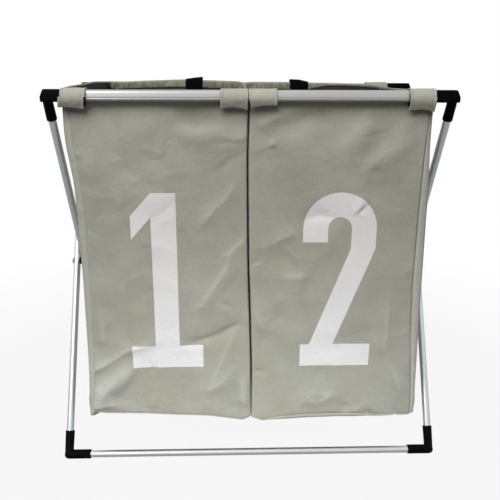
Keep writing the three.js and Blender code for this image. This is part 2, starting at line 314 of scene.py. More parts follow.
grainy = {
    # moulded black plastic: fine spark grain, dulled and slightly dusty
    "blackPlastic": {
        "patch": 60, "stops": [(0.35, (0.0015, 0.0015, 0.0017)), (0.7, (0.0032, 0.0032, 0.0034))],
        "roughness": (0.38, 0.55), "grain": (2600, 2, 0.6), "depth": 0.00006, "strength": 0.6,
        "socket": ("Specular IOR Level", 0.02),
    },
    "zincSteel": {
        "patch": 180, "stops": [(0.3, (0.62, 0.63, 0.65)), (0.7, (0.78, 0.78, 0.77))],
        "roughness": (0.3, 0.5), "grain": (1500, 2), "depth": 0.00003, "strength": 0.5,
        "socket": ("Metallic", 1),
    },
}


def grainyMaterial(name):
    kind = grainy[name]
    material, tree, shader = newMaterial(name)
    spot = place(tree)
    patches = noise(tree, spot, kind["patch"], 4, 0.6)
    colourOf(tree, shader, rampOf(tree, patches, kind["stops"]))
    roughnessOf(tree, shader, patches, *kind["roughness"])
    socket, value = kind["socket"]
    shader.inputs[socket].default_value = value
    bumpOf(tree, shader, noise(tree, spot, *kind["grain"]), kind["depth"], kind["strength"])
    return material


cloth = {
    "thread": 0.55,  # millimetres from thread to thread
    "roughness": (0.48, 0.62),
    # each cloth: in the dips, on the rises, and where folds have worn it; on the bags the last also gives the
    # strip beside the front seam its painted light
    "bag": ((0.285, 0.281, 0.231), (0.36, 0.356, 0.3), (0.45, 0.447, 0.4)),
    "loop": ((0.335, 0.331, 0.275), (0.425, 0.42, 0.357), (0.45, 0.447, 0.4)),  # a little lighter than the bag's cloth
    # the coated back of the cloth, nearly black with a brown cast
    "lining": ((0.029, 0.0232, 0.0182), (0.048, 0.039, 0.0318), (0.055, 0.049, 0.043)),
    "liningRoughness": (0.45, 0.6),
    "warm": (0.86, 0.82, 0.775),  # tint of the faint patches in the dye
    # painted shade inside the rim: the turned cloth is darkened towards this colour
    "hemShadeTint": (0.46, 0.48, 0.42, 1),
    "hemShadeFrom": (8.8, 13),  # millimetres along the hem from its outer edge, over which the painted shade comes in
}


def weave(tree, u, v, pitch):
    # plain weave: each thread rises where the other dips
    wave = math.pi / (pitch * mm)
    across = calc(tree, "SINE", times(tree, u, wave))
    down = calc(tree, "SINE", times(tree, v, wave))
    return times(tree, across, down)


def valleys(tree, spot, scale):
    # sharp valleys where a slow noise crosses its middle
    off = calc(tree, "ABSOLUTE", minus(tree, noise(tree, spot, scale, 3, 0.5), 0.5))
    return calc(tree, "MINIMUM", off, 0.06)


def clothMaterial(name, kind, roughness=cloth["roughness"], paint=None):
    dark, light, worn = cloth[kind]
    material, tree, shader = newMaterial(name)
    uv, u, v = clothPlace(tree)
    spot = place(tree)
    clouds = noise(tree, spot, 16, 5, 0.62)
    specks = noise(tree, spot, 420, 3, 0.7)
    threads = noise(tree, mapped(tree, uv, (1, 0.02, 1)), 1500, 1)
    mixed = plus(tree, times(tree, clouds, 0.62), times(tree, specks, 0.26))
    mixed = plus(tree, mixed, times(tree, threads, 0.12))
    colour = rampOf(tree, mixed, [(0.36, dark), (0.64, light)])
    patch = rampUp(tree, noise(tree, spot, 9, 3, 0.55), 0.44, 0.66, 0.0, 0.5)
    warm = tuple(a * b for a, b in zip(light, cloth["warm"]))
    colour = blendColour(tree, patch, colour, (*warm, 1))
    # the attribute holds real fold wear, and painted light on the strip beside the front seam
    wearAndLightShare = addNode(tree, "ShaderNodeAttribute", attribute_name="foldWearAndStripLight").outputs["Fac"]
    colour = blendColour(tree, wearAndLightShare, colour, (*worn, 1))
    colourOf(tree, shader, paint(tree, uv, colour) if paint else colour)
    roughnessOf(tree, shader, clouds, *roughness)
    shader.inputs["Specular IOR Level"].default_value = 0.16
    small = bumpOf(tree, shader, weave(tree, u, v, cloth["thread"]), 0.00005, 0.7)
    crease = plus(tree, valleys(tree, spot, 19), times(tree, valleys(tree, spot, 47), 0.4))
    bumpOf(tree, shader, crease, 0.009, 0.5, small)
    return material


def hemPaintedShade(tree, uv, colour):
    # painted shade: inside the rim the turned cloth is darkened, less so in bands across it
    along = clothPlace(tree)[2]
    shadeBands = noise(tree, mapped(tree, uv, (1, 0.4, 1), (0, 0, 0.3)), 95, 4, 0.65)
    low, high = cloth["hemShadeFrom"]
    paintedShade = times(tree, rampUp(tree, shadeBands, 0.42, 0.62, 1.0, 0.3), rampUp(tree, along, low * mm, high * mm))
    return blendColour(tree, paintedShade, colour, cloth["hemShadeTint"], "MULTIPLY")


numeral = {
    "ink": (0.66, 0.645, 0.63),
    "width": 118,
    "height": 300,
    "stroke": 40,
    1: (-139, 318),  # middle of the numeral on the left bag
    2: (142, 318),  # and on the right one
}


def boxMask(tree, x, y, low, high):
    # 1 inside an upright box, 0 outside, from distances in metres
    inX = between(tree, x, low[0] * mm, high[0] * mm)
    return times(tree, inX, between(tree, y, low[1] * mm, high[1] * mm))


def slantMask(tree, x, y, start, end, width):
    # a straight band between two points given as (along, over); its ends are cut square to "along"
    run, rise = end[0] - start[0], end[1] - start[1]
    share = calc(tree, "DIVIDE", minus(tree, x, start[0] * mm), run * mm)
    line = plus(tree, times(tree, share, rise * mm), start[1] * mm)
    off = calc(tree, "ABSOLUTE", minus(tree, y, line))
    return times(tree, calc(tree, "LESS_THAN", off, width / 2 * mm), between(tree, share, 0.0, 1.0))


def archMask(tree, x, y, centre, radius, width):
    # the upper half of a ring
    dx, dy = minus(tree, x, centre[0] * mm), minus(tree, y, centre[1] * mm)
    far = calc(tree, "SQRT", plus(tree, times(tree, dx, dx), times(tree, dy, dy)))
    off = calc(tree, "ABSOLUTE", minus(tree, far, radius * mm))
    return times(tree, calc(tree, "LESS_THAN", off, width / 2 * mm), calc(tree, "GREATER_THAN", dy, 0.0))


def numeralMask(tree, u, v, digit):
    half, tall, stroke = numeral["width"] / 2, numeral["height"] / 2, numeral["stroke"]
    x, y = (minus(tree, value, at * mm) for value, at in zip((u, v), numeral[digit]))
    shapes = [boxMask(tree, x, y, (-half, -tall), (half, -tall + stroke))]
    if digit == 1:
        shapes += [
            boxMask(tree, x, y, (-stroke / 2, -tall), (stroke / 2, tall)),
            slantMask(tree, x, y, (-half + 7, tall - 56), (-stroke / 2 + 1, tall - 19), 38),
        ]
    else:
        ring, knee = half - stroke / 2, tall - half - 34
        shapes += [
            archMask(tree, x, y, (0, tall - half), ring, stroke),
            boxMask(tree, x, y, (half - stroke, knee), (half, tall - half + 1)),
            boxMask(tree, x, y, (-half, tall - half - 22), (-half + stroke, tall - half + 1)),
            slantMask(tree, y, x, (-tall, -half + stroke / 2), (knee + 1, half - stroke / 2), stroke),
        ]
    total = shapes[0]
    for shape in shapes[1:]:
        total = calc(tree, "MAXIMUM", total, shape)
    return total


def bagCloth(side, digit):
    # the greige cloth with a plain bin number printed on the front panel
    def paint(tree, uv, colour):
        mask = numeralMask(tree, *clothPlace(tree)[1:], digit)
        worn = noise(tree, place(tree), 900, 3, 0.7)
        mask = times(tree, mask, rampOf(tree, worn, [(0.22, 0.82), (0.4, 1.0)]))
        return blendColour(tree, mask, colour, (*numeral["ink"], 1))

    return clothMaterial("bagCloth" + side, "bag", paint=paint)


def plainThread(name, colour):
    material, tree, shader = newMaterial(name)
    twist = noise(tree, place(tree), 3000, 2)
    colourOf(tree, shader, rampOf(tree, twist, [(0.3, tuple(c * 0.75 for c in colour)), (0.7, colour)]))
    shader.inputs["Roughness"].default_value = 0.7
    bumpOf(tree, shader, twist, 0.0001, 0.6)
    return material


webbing = {
    "rib": 1.5,  # millimetres from rib to rib, and from warp to warp
    "warp": 1.1,
    "stops": [(0.3, (0.0015, 0.0015, 0.0018)), (0.75, (0.005, 0.005, 0.0056))],
}


def webbingMaterial():
    # woven black tape: ribs across it, each crossed by the warp
    material, tree, shader = newMaterial("blackWebbing")
    _, u, v = clothPlace(tree)
    ribs = calc(tree, "SINE", times(tree, v, 2 * math.pi / (webbing["rib"] * mm)))
    warp = calc(tree, "SINE", times(tree, u, 2 * math.pi / (webbing["warp"] * mm)))
    colourOf(tree, shader, rampOf(tree, noise(tree, place(tree), 700, 3, 0.7), webbing["stops"]))
    shader.inputs["Roughness"].default_value = 0.8
    shader.inputs["Specular IOR Level"].default_value = 0.03
    bumpOf(tree, shader, plus(tree, ribs, times(tree, warp, 0.5)), 0.00012, 0.8)
    return material


legMetal = tubeMetal("legMetal", "leg", legLean)
outerLegMetal = tubeMetal("outerLegMetal", "leg", -legLean)
barMetal = tubeMetal("barMetal", "bar")
# painted shade: the top bars take a darker copy of the tube metal
topBarShadedMetal = tubeMetal("topBarShadedMetal", "topBar")
plastic = grainyMaterial("blackPlastic")
steel = grainyMaterial("zincSteel")
greige = clothMaterial("greigeCloth", "loop")
lining = clothMaterial("liningCloth", "lining", cloth["liningRoughness"])
# the hems' cloth, with painted shade inside the rim
hemShadedCloth = clothMaterial("hemClothPaintedShade", "bag", paint=hemPaintedShade)
webbingBlack = webbingMaterial()
greigeThread = plainThread("greigeThread", (0.42, 0.41, 0.36))
blackThread = plainThread("blackThread", (0.02, 0.02, 0.022))
print("materials made")


# the rigid pieces keep their CAD meshes and get their finish
edges = {
    "plastic": 0.7,  # rounding of the edges, in millimetres
    "small": 0.25,
    "corner": 35,  # degrees from which an edge is a corner
}
finishes = (
    ("elbow", plastic, edges["plastic"]),
    ("bottom_bar", barMetal, 0),
    ("inner_leg", legMetal, 0),
    ("outer_leg", outerLegMetal, 0),
    ("washer", plastic, edges["small"]),
    ("bolt", steel, edges["small"]),
    ("nut", steel, edges["small"]),
)


def finishNode(piece, material, rounding):
    piece.data.materials.clear()
    piece.data.materials.append(material)
    piece.data.polygons.foreach_set("use_smooth", [True] * len(piece.data.polygons))
    weld = piece.modifiers.new("weld", "WELD")
    weld.merge_threshold = 0.00001
    if rounding:
        bevel = piece.modifiers.new("rounded edges", "BEVEL")
        bevel.width, bevel.segments, bevel.limit_method = rounding * mm, 2, "ANGLE"
        bevel.angle_limit = math.radians(edges["corner"])
        bevel.harden_normals = True
    else:
        keepCorners(piece)


def keepCorners(piece):
    # smooth shading stops at the cut ends
    split = piece.modifiers.new("crisp corners", "EDGE_SPLIT")
    split.split_angle = math.radians(edges["corner"])


for name, piece in nodes.items():
    for part, material, rounding in finishes:
        if part in name:
            finishNode(piece, material, rounding)
            break


def setPiece(made, slot, body, *replaced):
    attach(made, body)
    if replaced:
        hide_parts(*replaced)


# the two top bars: the extruded section with its crowned faces and soft groove
topBar = {
    "squareness": 4.2,  # power of the rounded section: 2 is an ellipse, 10 nearly a box
    "points": 200,
    "groove": {"drop": 3.2, "half": 0.95, "depth": 1.0},
    "taper": 0.55,  # below the groove the faces fall back by this share of the height
    "rise": 0.7,  # the underside lies this much above the section's lowest line
}


def makeTopBar(node, body):
    low, high = nodeBox(node)
    centre, half = (low + high) / 2, (high - low) / 2
    turn = np.linspace(0, 2 * math.pi, topBar["points"], endpoint=False)
    power = 2 / topBar["squareness"]
    d = np.sign(np.cos(turn)) * np.abs(np.cos(turn)) ** power * half[1]
    h = np.sign(np.sin(turn)) * np.abs(np.sin(turn)) ** power * half[2]
    h = np.where(h < 0, h * (1 - topBar["rise"] / half[2]), h)
    groove = topBar["groove"]
    cut = groove["depth"] * np.exp(-(((h + groove["drop"]) / groove["half"]) ** 4))
    cut = cut + topBar["taper"] * np.clip(-h - groove["drop"] - groove["half"], 0, 20)
    d = d - np.sign(d) * np.where(np.abs(d) > half[1] * 0.8, cut, 0)
    count = len(turn)
    points = [(x, centre[1] + a, centre[2] + b) for x in (low[0], high[0]) for a, b in zip(d, h)]
    faces = [(i, (i + 1) % count, count + (i + 1) % count, count + i) for i in range(count)]
    faces += [tuple(range(count))[::-1], tuple(range(count, 2 * count))]
    made = makeMesh("extruded_" + node, points, [tuple(reversed(face)) for face in faces], [topBarShadedMetal])
    keepCorners(made)
    setPiece(made, "aluminium", body, node)


makeTopBar("front_top_bar", "inner_frame")
makeTopBar("back_top_bar", "outer_frame")
print("frame finished")


bag = {
    "shell": 0.9,  # thickness of the cloth
    "rows": 168,
    "footRows": (0, 0.002, 0.0045, 0.009),  # the lowest rows, as shares of the height
    "evenRows": 0.0125,  # the others are evenly spaced from this share up
    "aboveBar": 6,  # the tables of widths are read up to this far above the front bar's axis
    "columns": {"front": 100, "side": 46, "backStrip": 4, "back": 60, "inner": 46},
    "sharpen": (0.9955, 0.9995),  # more columns that keep the step at the front seam sharp
    "strip": (0, 0.06, 0.13, 0.2, 0.5, 0.78),  # columns of the strip between the front seam and the corner
    "cornerDepth": 5.4,  # from the front face back to the rounded corner
    "backCorner": 8,  # width of the slope at the back corner
    "cornerRound": {"side": 3.5, "backStrip": 3.5, "inner": 1, "front": 3.5},
    "swell": 4,  # the side bellies out by this much
    "seamStep": 2.4,  # the front panel stands proud of the side strip by this much
    "seamGroove": {"left": 0, "right": 3.4},  # and the strip is pulled in beside the seam by this much
    # painted light: the strip beside the front seam is lightened by these shares towards the worn colour, for
    # the light it catches
    "stripPaintedLight": {"left": 0.35, "right": 0.6},
    "groove": 1.3,  # depth of the stitched groove beside the back corner
    # heights and widths below are read off the real outline, from the middle of the bars
    "outline": {
        "left": [
            (60, 279.5), (84, 277), (110, 276.6), (167, 275.2), (229, 274), (328, 273), (410, 275),
            (440, 275.4), (476, 276), (515, 281), (542, 284.6), (575, 284.5), (630, 282),
        ],
        "right": [
            (60, 288.6), (113, 288), (229, 285), (328, 283.4), (420, 281.4), (476, 281), (542, 277.7),
            (600, 277.4), (630, 278),
        ],
    },
    "seam": {
        "left": [
            (60, 270), (110, 266), (200, 262), (300, 260), (440, 260.5), (515, 266), (552, 271), (630, 274),
        ],
        "right": [
            (60, 279.5), (97, 278.5), (150, 274.5), (212, 269.4), (229, 268.5), (320, 264.2), (454, 265.2),
            (511, 266.3), (542, 267), (566, 269), (630, 271),
        ],
    },
    "inner": {
        "left": [
            (60, -0.9), (142, 0.0), (190, 0.6), (245, 2.1), (294, 3.5), (345, 5.4), (408, 6.0), (519, 7.0),
            (591, 5.6), (630, 5.2),
        ],
        "right": [
            (60, 1.3), (142, 2.3), (190, 1.5), (245, 0.1), (294, -1.2), (345, -3.3), (408, -3.8), (519, -4.8),
            (591, -3.4), (630, -3.0),
        ],
    },
    "backOuter": {
        "left": [(60, 276), (400, 275), (560, 268), (630, 264)],
        "right": [(60, 277), (400, 277), (630, 275)],
    },
    # heights of the rim above the floor along each panel: share of the panel, height
    "rim": {
        "left": {
            "front": [(0, 620.5), (0.5, 618), (1, 622)],
            "side": [(0, 624), (0.1, 626), (0.4, 627.5), (0.6, 629.2), (0.85, 627.2), (1, 625.4)],
            "back": [
                (0, 625.2), (0.07, 625.4), (0.23, 627.4), (0.38, 628.6), (0.53, 630), (0.7, 628.6),
                (1, 626.4),
            ],
            "inner": [(0, 625), (0.1, 617), (0.3, 611), (0.7, 611), (1, 620)],
        },
        "right": {
            "front": [(0, 620.5), (0.5, 618), (1, 621.5)],
            "side": [(0, 622.5), (0.3, 620.5), (0.65, 617.8), (0.92, 615.8), (1, 616.8)],
            "back": [
                (0, 618), (0.03, 619.5), (0.1, 622.3), (0.22, 623), (0.36, 624.2), (0.55, 624.8),
                (0.7, 625.6), (1, 626),
            ],
            "inner": [(0, 625), (0.1, 617), (0.3, 611), (0.7, 611), (1, 620)],
        },
    },
    # height of the seam along the foot of the front, and how far the bottom panel shows below it
    "foot": {
        "left": [
            (0, 72.4), (2, 71.4), (13, 65.9), (72, 74.3), (104, 76.1), (169, 80), (249, 82.6), (259, 85),
            (265.4, 87.6), (270, 81.6), (274.7, 74.5), (281, 79),
        ],
        "right": [
            (0, 71.2), (3, 70.5), (20, 63.8), (41, 69.6), (70, 72.4), (85, 73.8), (120, 75.2), (179, 75.2),
            (225, 72.6), (266, 71.6), (287, 73.4),
        ],
    },
    "footDrop": {
        "left": [(0, 1.5), (290, 1.5)],
        "right": [
            (0, 1.2), (20, 1.4), (41, 6), (70, 7.8), (120, 8), (179, 7.3), (225, 4.3), (266, 1.8), (290, 1.4),
        ],
    },
    "otherDrop": 3.5,  # and below the seam of the other panels
    "footEnd": 290,  # the tables of the foot reach this far across
    # share of the drop, distance in
    "footProfile": [(1.0, 4.0), (0.93, 1.6), (0.72, 0.35), (0.4, 0.2), (0.18, 0.9)],
    "footGroove": (1.2, 1.5),  # depth and width of the groove along the foot seam
    "footTurn": 8,  # cloth that is turned in under the foot
    "floorRings": 14,  # rings of the bottom panel round its middle
    "floorPitch": 9.2,  # cloth from one of them to the next
    "floorWaves": ((1.6, 70, 51), (1.0, 30, 53)),  # height, length, seed
    "foldStrength": 1.5,
    "crumples": {"front": 90, "side": 70, "back": 80, "inner": 30},
    "seeds": {"front": 11, "side": 23, "back": 37, "inner": 41},
}
foldShape = {
    "lee": 1.7,  # a fold is this much wider on one of its sides
    "start": (-0.02, 0.38),  # shares of its length over which it rises
    "end": (1.02, 0.62),  # and over which it dies out, from its end backwards
    "wander": (4, 60),  # its line strays by this much, in waves of this length
    "waves": ((1.5, 150), (0.5, 55)),  # slow waves of each panel: height, length
}

# creases of the front panels: points (across, height), width, height of the fold,
# crisp or soft, full at its start
creases = {
    "left": [
        ([(-272, 96), (-243, 122), (-214, 152), (-186, 182)], 13, 4.2, 0, 1),
        ([(-262, 104), (-240, 128), (-222, 150)], 4, 1.8, 1, 0),
        ([(-272, 92), (-246, 97), (-222, 99)], 5, 2.2, 1, 1),
        ([(-276, 158), (-252, 172), (-209, 197), (-168, 211), (-140, 222)], 8, 2.8, 1, 1),
        ([(-22, 243), (-52, 229), (-88, 215), (-120, 210)], 8, -3.0, 1, 1),
        ([(-251, 278), (-247, 240), (-244, 196)], 7, 2.2, 1, 0),
        ([(-12, 250), (-32, 214), (-52, 172), (-66, 130), (-79, 100)], 8, 2.0, 1, 0),
        ([(-22, 176), (-48, 140), (-92, 112)], 7, 1.6, 1, 0),
        ([(-5, 142), (-14, 86)], 11, 2.6, 0, 1),
        ([(-20, 384), (-52, 325), (-78, 282), (-112, 258)], 9, 2.6, 1, 0),
        ([(-10, 392), (-30, 370), (-52, 358)], 5, 1.8, 1, 1),
        ([(-14, 500), (-36, 466), (-60, 434), (-92, 402)], 9, 2.4, 1, 0),
        ([(-6, 536), (-36, 512), (-70, 496)], 6, -1.1, 1, 1),
        ([(-6, 553), (-60, 558), (-126, 563)], 11, 2.0, 0, 1),
        ([(-6, 545), (-34, 548), (-64, 547)], 5, -1.1, 1, 1),
        ([(-279, 531), (-262, 534)], 4, -2.6, 1, 1),
        ([(-250, 540), (-254, 480)], 11, 1.4, 0, 0),
        ([(-279, 536), (-268, 528), (-258, 524)], 3, 2.0, 1, 1),
        ([(-166, 122), (-168, 86)], 6, 1.8, 1, 0),
        ([(-77, 104), (-73, 76)], 5, 1.6, 1, 0),
        ([(-152, 430), (-138, 470), (-150, 520)], 22, 1.6, 0, 0),
        ([(-196, 330), (-188, 260)], 14, -1.8, 0, 0),
        ([(-95, 625), (-95, 585), (-98, 550)], 20, -3.0, 0, 1),
    ],
    "right": [
        ([(146, 598), (96, 584), (34, 570), (-4, 555)], 11, -2.4, 0, 0),
        ([(60, 588), (24, 574), (0, 570)], 9, 2.4, 0, 0),
        ([(206, 592), (172, 566), (140, 540), (108, 512)], 15, 2.5, 0, 0),
        ([(216, 568), (186, 541), (160, 516)], 12, -1.1, 0, 0),
        ([(252, 586), (224, 542), (190, 514), (164, 494)], 14, 2.3, 0, 0),
        ([(34, 551), (28, 536)], 4, 1.8, 1, 0),
        ([(80, 424), (112, 429), (154, 426)], 8, -2.4, 1, 0),
        ([(158, 432), (170, 442), (183, 453)], 4, 2.2, 1, 0),
        ([(183, 453), (173, 440), (177, 431)], 4, -1.6, 1, 0),
        ([(22, 380), (50, 394), (78, 407)], 8, 2.0, 1, 0),
        ([(-3, 351), (16, 351)], 4, -2.4, 1, 1),
        ([(4, 345), (18, 352)], 4, 1.8, 1, 0),
        ([(36, 325), (66, 327), (102, 329)], 7, 1.7, 1, 0),
        ([(224, 312), (228, 260), (226, 214), (233, 160)], 8, 2.2, 1, 0),
        ([(194, 230), (212, 208), (226, 176)], 5, 1.8, 1, 0),
        ([(234, 170), (250, 140), (265, 112)], 5, 2.0, 1, 0),
        ([(12, 314), (8, 262), (18, 240), (34, 224)], 8, 2.0, 1, 0),
        ([(-3, 155), (28, 156)], 5, -2.0, 1, 1),
        ([(78, 100), (118, 112), (168, 112)], 12, 2.0, 0, 0),
        ([(150, 124), (122, 100), (98, 84)], 6, 1.7, 1, 0),
        ([(165, 98), (162, 74)], 5, -2.2, 1, 0),
        ([(178, 90), (186, 74)], 5, 1.8, 1, 0),
        ([(206, 84), (203, 72)], 4, -1.6, 1, 0),
        ([(256, 88), (247, 70)], 5, -2.4, 1, 0),
        ([(64, 250), (58, 300), (70, 350)], 26, 1.8, 0, 0),
    ],
    # on the other panels the points are shares of the panel
    "side": [
        ([(0.04, 0.96), (0.3, 0.8), (0.52, 0.66)], 14, 3.2, 0, 1),
        ([(0.96, 0.95), (0.72, 0.8), (0.5, 0.7)], 13, 3.0, 0, 1),
        ([(0.02, 0.05), (0.22, 0.16), (0.4, 0.32)], 10, 3.0, 1, 1),
        ([(0.98, 0.05), (0.8, 0.18), (0.62, 0.3)], 10, 2.8, 1, 1),
        ([(0.5, 0.08), (0.48, 0.4), (0.51, 0.8)], 30, 3.4, 0, 0),
        ([(0.1, 0.55), (0.34, 0.5), (0.6, 0.53)], 8, -1.8, 1, 0),
        ([(0.4, 0.3), (0.62, 0.36), (0.88, 0.34)], 8, 1.8, 1, 0),
        ([(0.2, 0.98), (0.24, 0.86)], 7, 2.2, 1, 0),
        ([(0.72, 0.97), (0.66, 0.88)], 7, -2.0, 1, 0),
    ],
    "back": [
        ([(0.03, 0.95), (0.2, 0.84), (0.36, 0.76)], 14, 3.4, 0, 1),
        ([(0.97, 0.96), (0.82, 0.85), (0.64, 0.78)], 14, 3.4, 0, 1),
        ([(0.3, 0.97), (0.5, 0.93), (0.7, 0.97)], 12, -2.6, 0, 0),
        ([(0.02, 0.04), (0.16, 0.14), (0.34, 0.26)], 10, 3.0, 1, 1),
        ([(0.98, 0.04), (0.86, 0.12), (0.7, 0.27)], 10, 3.0, 1, 1),
        ([(0.2, 0.62), (0.46, 0.56), (0.8, 0.6)], 9, 2.0, 1, 0),
        ([(0.15, 0.42), (0.4, 0.36), (0.62, 0.4)], 8, -2.0, 1, 0),
        ([(0.55, 0.5), (0.72, 0.34), (0.82, 0.2)], 8, 2.2, 1, 0),
        ([(0.4, 0.2), (0.46, 0.08)], 7, 1.8, 1, 0),
    ],
}


def foldAt(x, y, crease):
    # height of one fold at every point: its distance from a line through a few points sets the profile
    points, width, height, crisp, fullStart = crease
    points = np.array(points, float)
    lengths = np.hypot(*np.diff(points, axis=0).T)
    total, walked = lengths.sum(), 0.0
    near = np.full(x.shape, 1e9)
    along, flank = np.zeros(x.shape), np.zeros(x.shape)
    for (x0, y0), (x1, y1), length in zip(points[:-1], points[1:], lengths):
        tx, ty = (x1 - x0) / length, (y1 - y0) / length
        run = np.clip((x - x0) * tx + (y - y0) * ty, 0, length)
        far = np.hypot(x - x0 - run * tx, y - y0 - run * ty)
        closer = far < near
        near = np.where(closer, far, near)
        along = np.where(closer, (walked + run) / total, along)
        flank = np.where(closer, (x - x0) * ty - (y - y0) * tx, flank)
        walked += length
    spread = width * np.where(flank > 0, 1.0, foldShape["lee"])
    profile = np.exp(-near / spread) if crisp else np.exp(-((near / spread) ** 2))
    fade = smoothStep(*foldShape["end"], along)
    if not fullStart:
        fade = fade * smoothStep(*foldShape["start"], along)
    return height * profile * fade


def crumples(x, y, low, high, count, seed):
    # many short crisp creases, as coated cloth keeps after it has been folded
    chance = random.Random(seed)
    total = np.zeros(x.shape)
    for _ in range(count):
        cx, cy = chance.uniform(low[0], high[0]), chance.uniform(low[1], high[1])
        angle = chance.choice((0.9, 2.2, 0.4, 2.7)) + chance.gauss(0, 0.3)
        half = chance.uniform(8, 34)
        bend = chance.gauss(0, 0.18)
        dx, dy = math.cos(angle) * half, math.sin(angle) * half
        points = [(cx - dx, cy - dy), (cx - dy * bend, cy + dx * bend), (cx + dx, cy + dy)]
        size = chance.uniform(0.3, 1.2) * chance.choice((1, 1, -1))
        total += foldAt(x, y, (points, chance.uniform(2.4, 6), size, 1, 0))
    return total


def relief(x, y, low, high, lines, count, seed):
    # folds, crumples and slow waves of one panel, in millimetres outward
    stray, size = foldShape["wander"]
    warpX = x + stray * smoothNoise(x, y, size, seed + 1)
    warpY = y + stray * smoothNoise(x, y, size, seed + 2)
    total = sum(foldAt(warpX, warpY, line) for line in lines) * bag["foldStrength"]
    total = total + crumples(warpX, warpY, low, high, count, seed + 3)
    waves = enumerate(foldShape["waves"], seed + 4)
    return total + sum(height * smoothNoise(x, y, size, own) for own, (height, size) in waves)


def scaled(lines, low, high):
    return [
        ([(low[0] + px * (high[0] - low[0]), low[1] + py * (high[1] - low[1])) for px, py in points], *rest)
        for points, *rest in lines
    ]


def alongRing(plan, tables):
    # values given along each panel, for every column of the ring, eased over the corners
    known = [(i, np.interp(t, *zip(*tables[panel]))) for i, (panel, t) in enumerate(plan) if panel in tables]
    return easedRing(np.interp(np.arange(len(plan)), *zip(*known), period=len(plan)), 3)


def columnPlan():
    # one entry for each column round the bag: panel, share of the panel
    plan = []
    for panel, number in bag["columns"].items():
        plan += [(panel, i / number) for i in range(number)]
        if panel == "front":
            plan += [(panel, t) for t in bag["sharpen"]] + [("strip", t) for t in bag["strip"]]
    return plan


def roundCorners(ring, corners):
    # pulls the points near each corner of a level ring onto a soft curve
    result = ring.copy()
    count = len(ring)
    for corner, radius in corners.items():
        here = ring[corner]
        for step in range(-4, 5):
            i = (corner + step) % count
            gap = np.hypot(*(ring[i] - here))
            if gap < radius:
                before = ring[(corner - 4) % count] - here
                after = ring[(corner + 4) % count] - here
                pull = before / max(np.hypot(*before), 1e-6) + after / max(np.hypot(*after), 1e-6)
                result[i] = ring[i] + pull * (radius - gap) ** 2 / (4 * radius)
    return result


def bagGrid(side):
    plan = columnPlan()
    panels = [panel for panel, _ in plan]
    corners = {panels.index(panel): radius for panel, radius in bag["cornerRound"].items()}
    even = np.linspace(bag["evenRows"], 1, bag["rows"] - len(bag["footRows"]))
    shares = np.concatenate([bag["footRows"], even])
    rows = []
    face, depth = clothFace, bag["cornerDepth"]
    swell = np.array([panel == "side" for panel in panels])
    for share in shares:
        height = bagFloor + share * (frontBar[2] + bag["aboveBar"] - bagFloor)
        inner, outer, seam, backOuter = (
            float(easedTable(height, bag[key][side])) for key in ("inner", "outline", "seam", "backOuter")
        )
        backEdge = backOuter - bag["backCorner"]
        ends = {
            "front": ((inner, -face), (seam, -face)),
            "strip": ((seam + 0.3, bag["seamStep"] - face), (outer, depth - face)),
            "side": ((outer, depth - face), (backOuter, face - depth)),
            "backStrip": ((backOuter, face - depth), (backEdge, face)),
            "back": ((backEdge, face), (inner - 0.8, face)),
            "inner": ((inner - 0.8, face), (inner, -face)),
        }
        ring = []
        for panel, t in plan:
            (x0, y0), (x1, y1) = ends[panel]
            pulled = np.interp(t, (0, 0.07, 0.2), (1, 1, 0)) if panel == "strip" else 0
            ring.append((x0 + (x1 - x0) * t, y0 + (y1 - y0) * t + bag["seamGroove"][side] * pulled))
        ring = np.array(ring)
        belly = np.sin(np.pi * np.array([t for panel, t in plan if panel == "side"]))
        ring[swell, 0] += bag["swell"] * np.sin(np.pi * share) * belly
        rows.append(roundCorners(ring, corners))
    flat = np.array(rows)
    deep = (flat[..., 1] + face) / (2 * face)
    rim = alongRing(plan, bag["rim"][side])[None, :]
    foot = np.interp(np.clip(flat[..., 0], 0, bag["footEnd"]), *zip(*bag["foot"][side]))
    foot = foot + (bagFloor - foot) * smoothStep(0.1, 0.5, deep)
    return flat, foot + (rim - foot) * shares[:, None], np.array(panels)


def addRelief(side, sign, flat, z, panels):
    # moves every point along its panel's outward direction
    x, y = flat[..., 0].copy(), flat[..., 1].copy()
    foot, top = float(z.min()), float(z.max())
    wearAndStripLight = np.zeros(x.shape)
    moves = {}
    for panel, seed in bag["seeds"].items():
        pick = panels == panel
        seed += 100 if side == "right" else 0
        across = {"front": sign * x, "back": x}.get(panel, y)[:, pick]
        height = z[:, pick]
        low, high = (across.min(), foot), (across.max(), top)
        lines = creases[{"front": side, "inner": "side"}.get(panel, panel)]
        if panel != "front":
            lines = scaled(lines, low, high)
        field = relief(across, height, low, high, lines, bag["crumples"][panel], seed)
        # the folds are weaker beside the corners, at the foot and under the rim
        edge = smoothStep(low[0] - 1, low[0] + 16, across) * smoothStep(high[0] + 1, high[0] - 16, across)
        hold = smoothStep(foot - 4, foot + 26, height)
        rimHold = 0.35 + 0.65 * smoothStep(top - 6, top - 46, height)
        moves[panel] = field * (0.35 + 0.65 * edge) * (0.75 + 0.25 * hold) * rimHold
        wearAndStripLight[:, pick] = np.clip(moves[panel] - 1.6, 0, 3) / 3 * 0.5
    # painted light on the strip beside the front seam, carried along with the fold wear
    wearAndStripLight[:, panels == "strip"] = bag["stripPaintedLight"][side] * np.interp(bag["strip"], (0.12, 0.2), (0, 1))
    x[:, panels == "side"] += moves["side"]
    y[:, panels == "front"] -= moves["front"]
    y[:, panels == "back"] += moves["back"]
    x[:, panels == "inner"] -= np.clip(moves["inner"], -6, 0.4)
    return x, y, wearAndStripLight


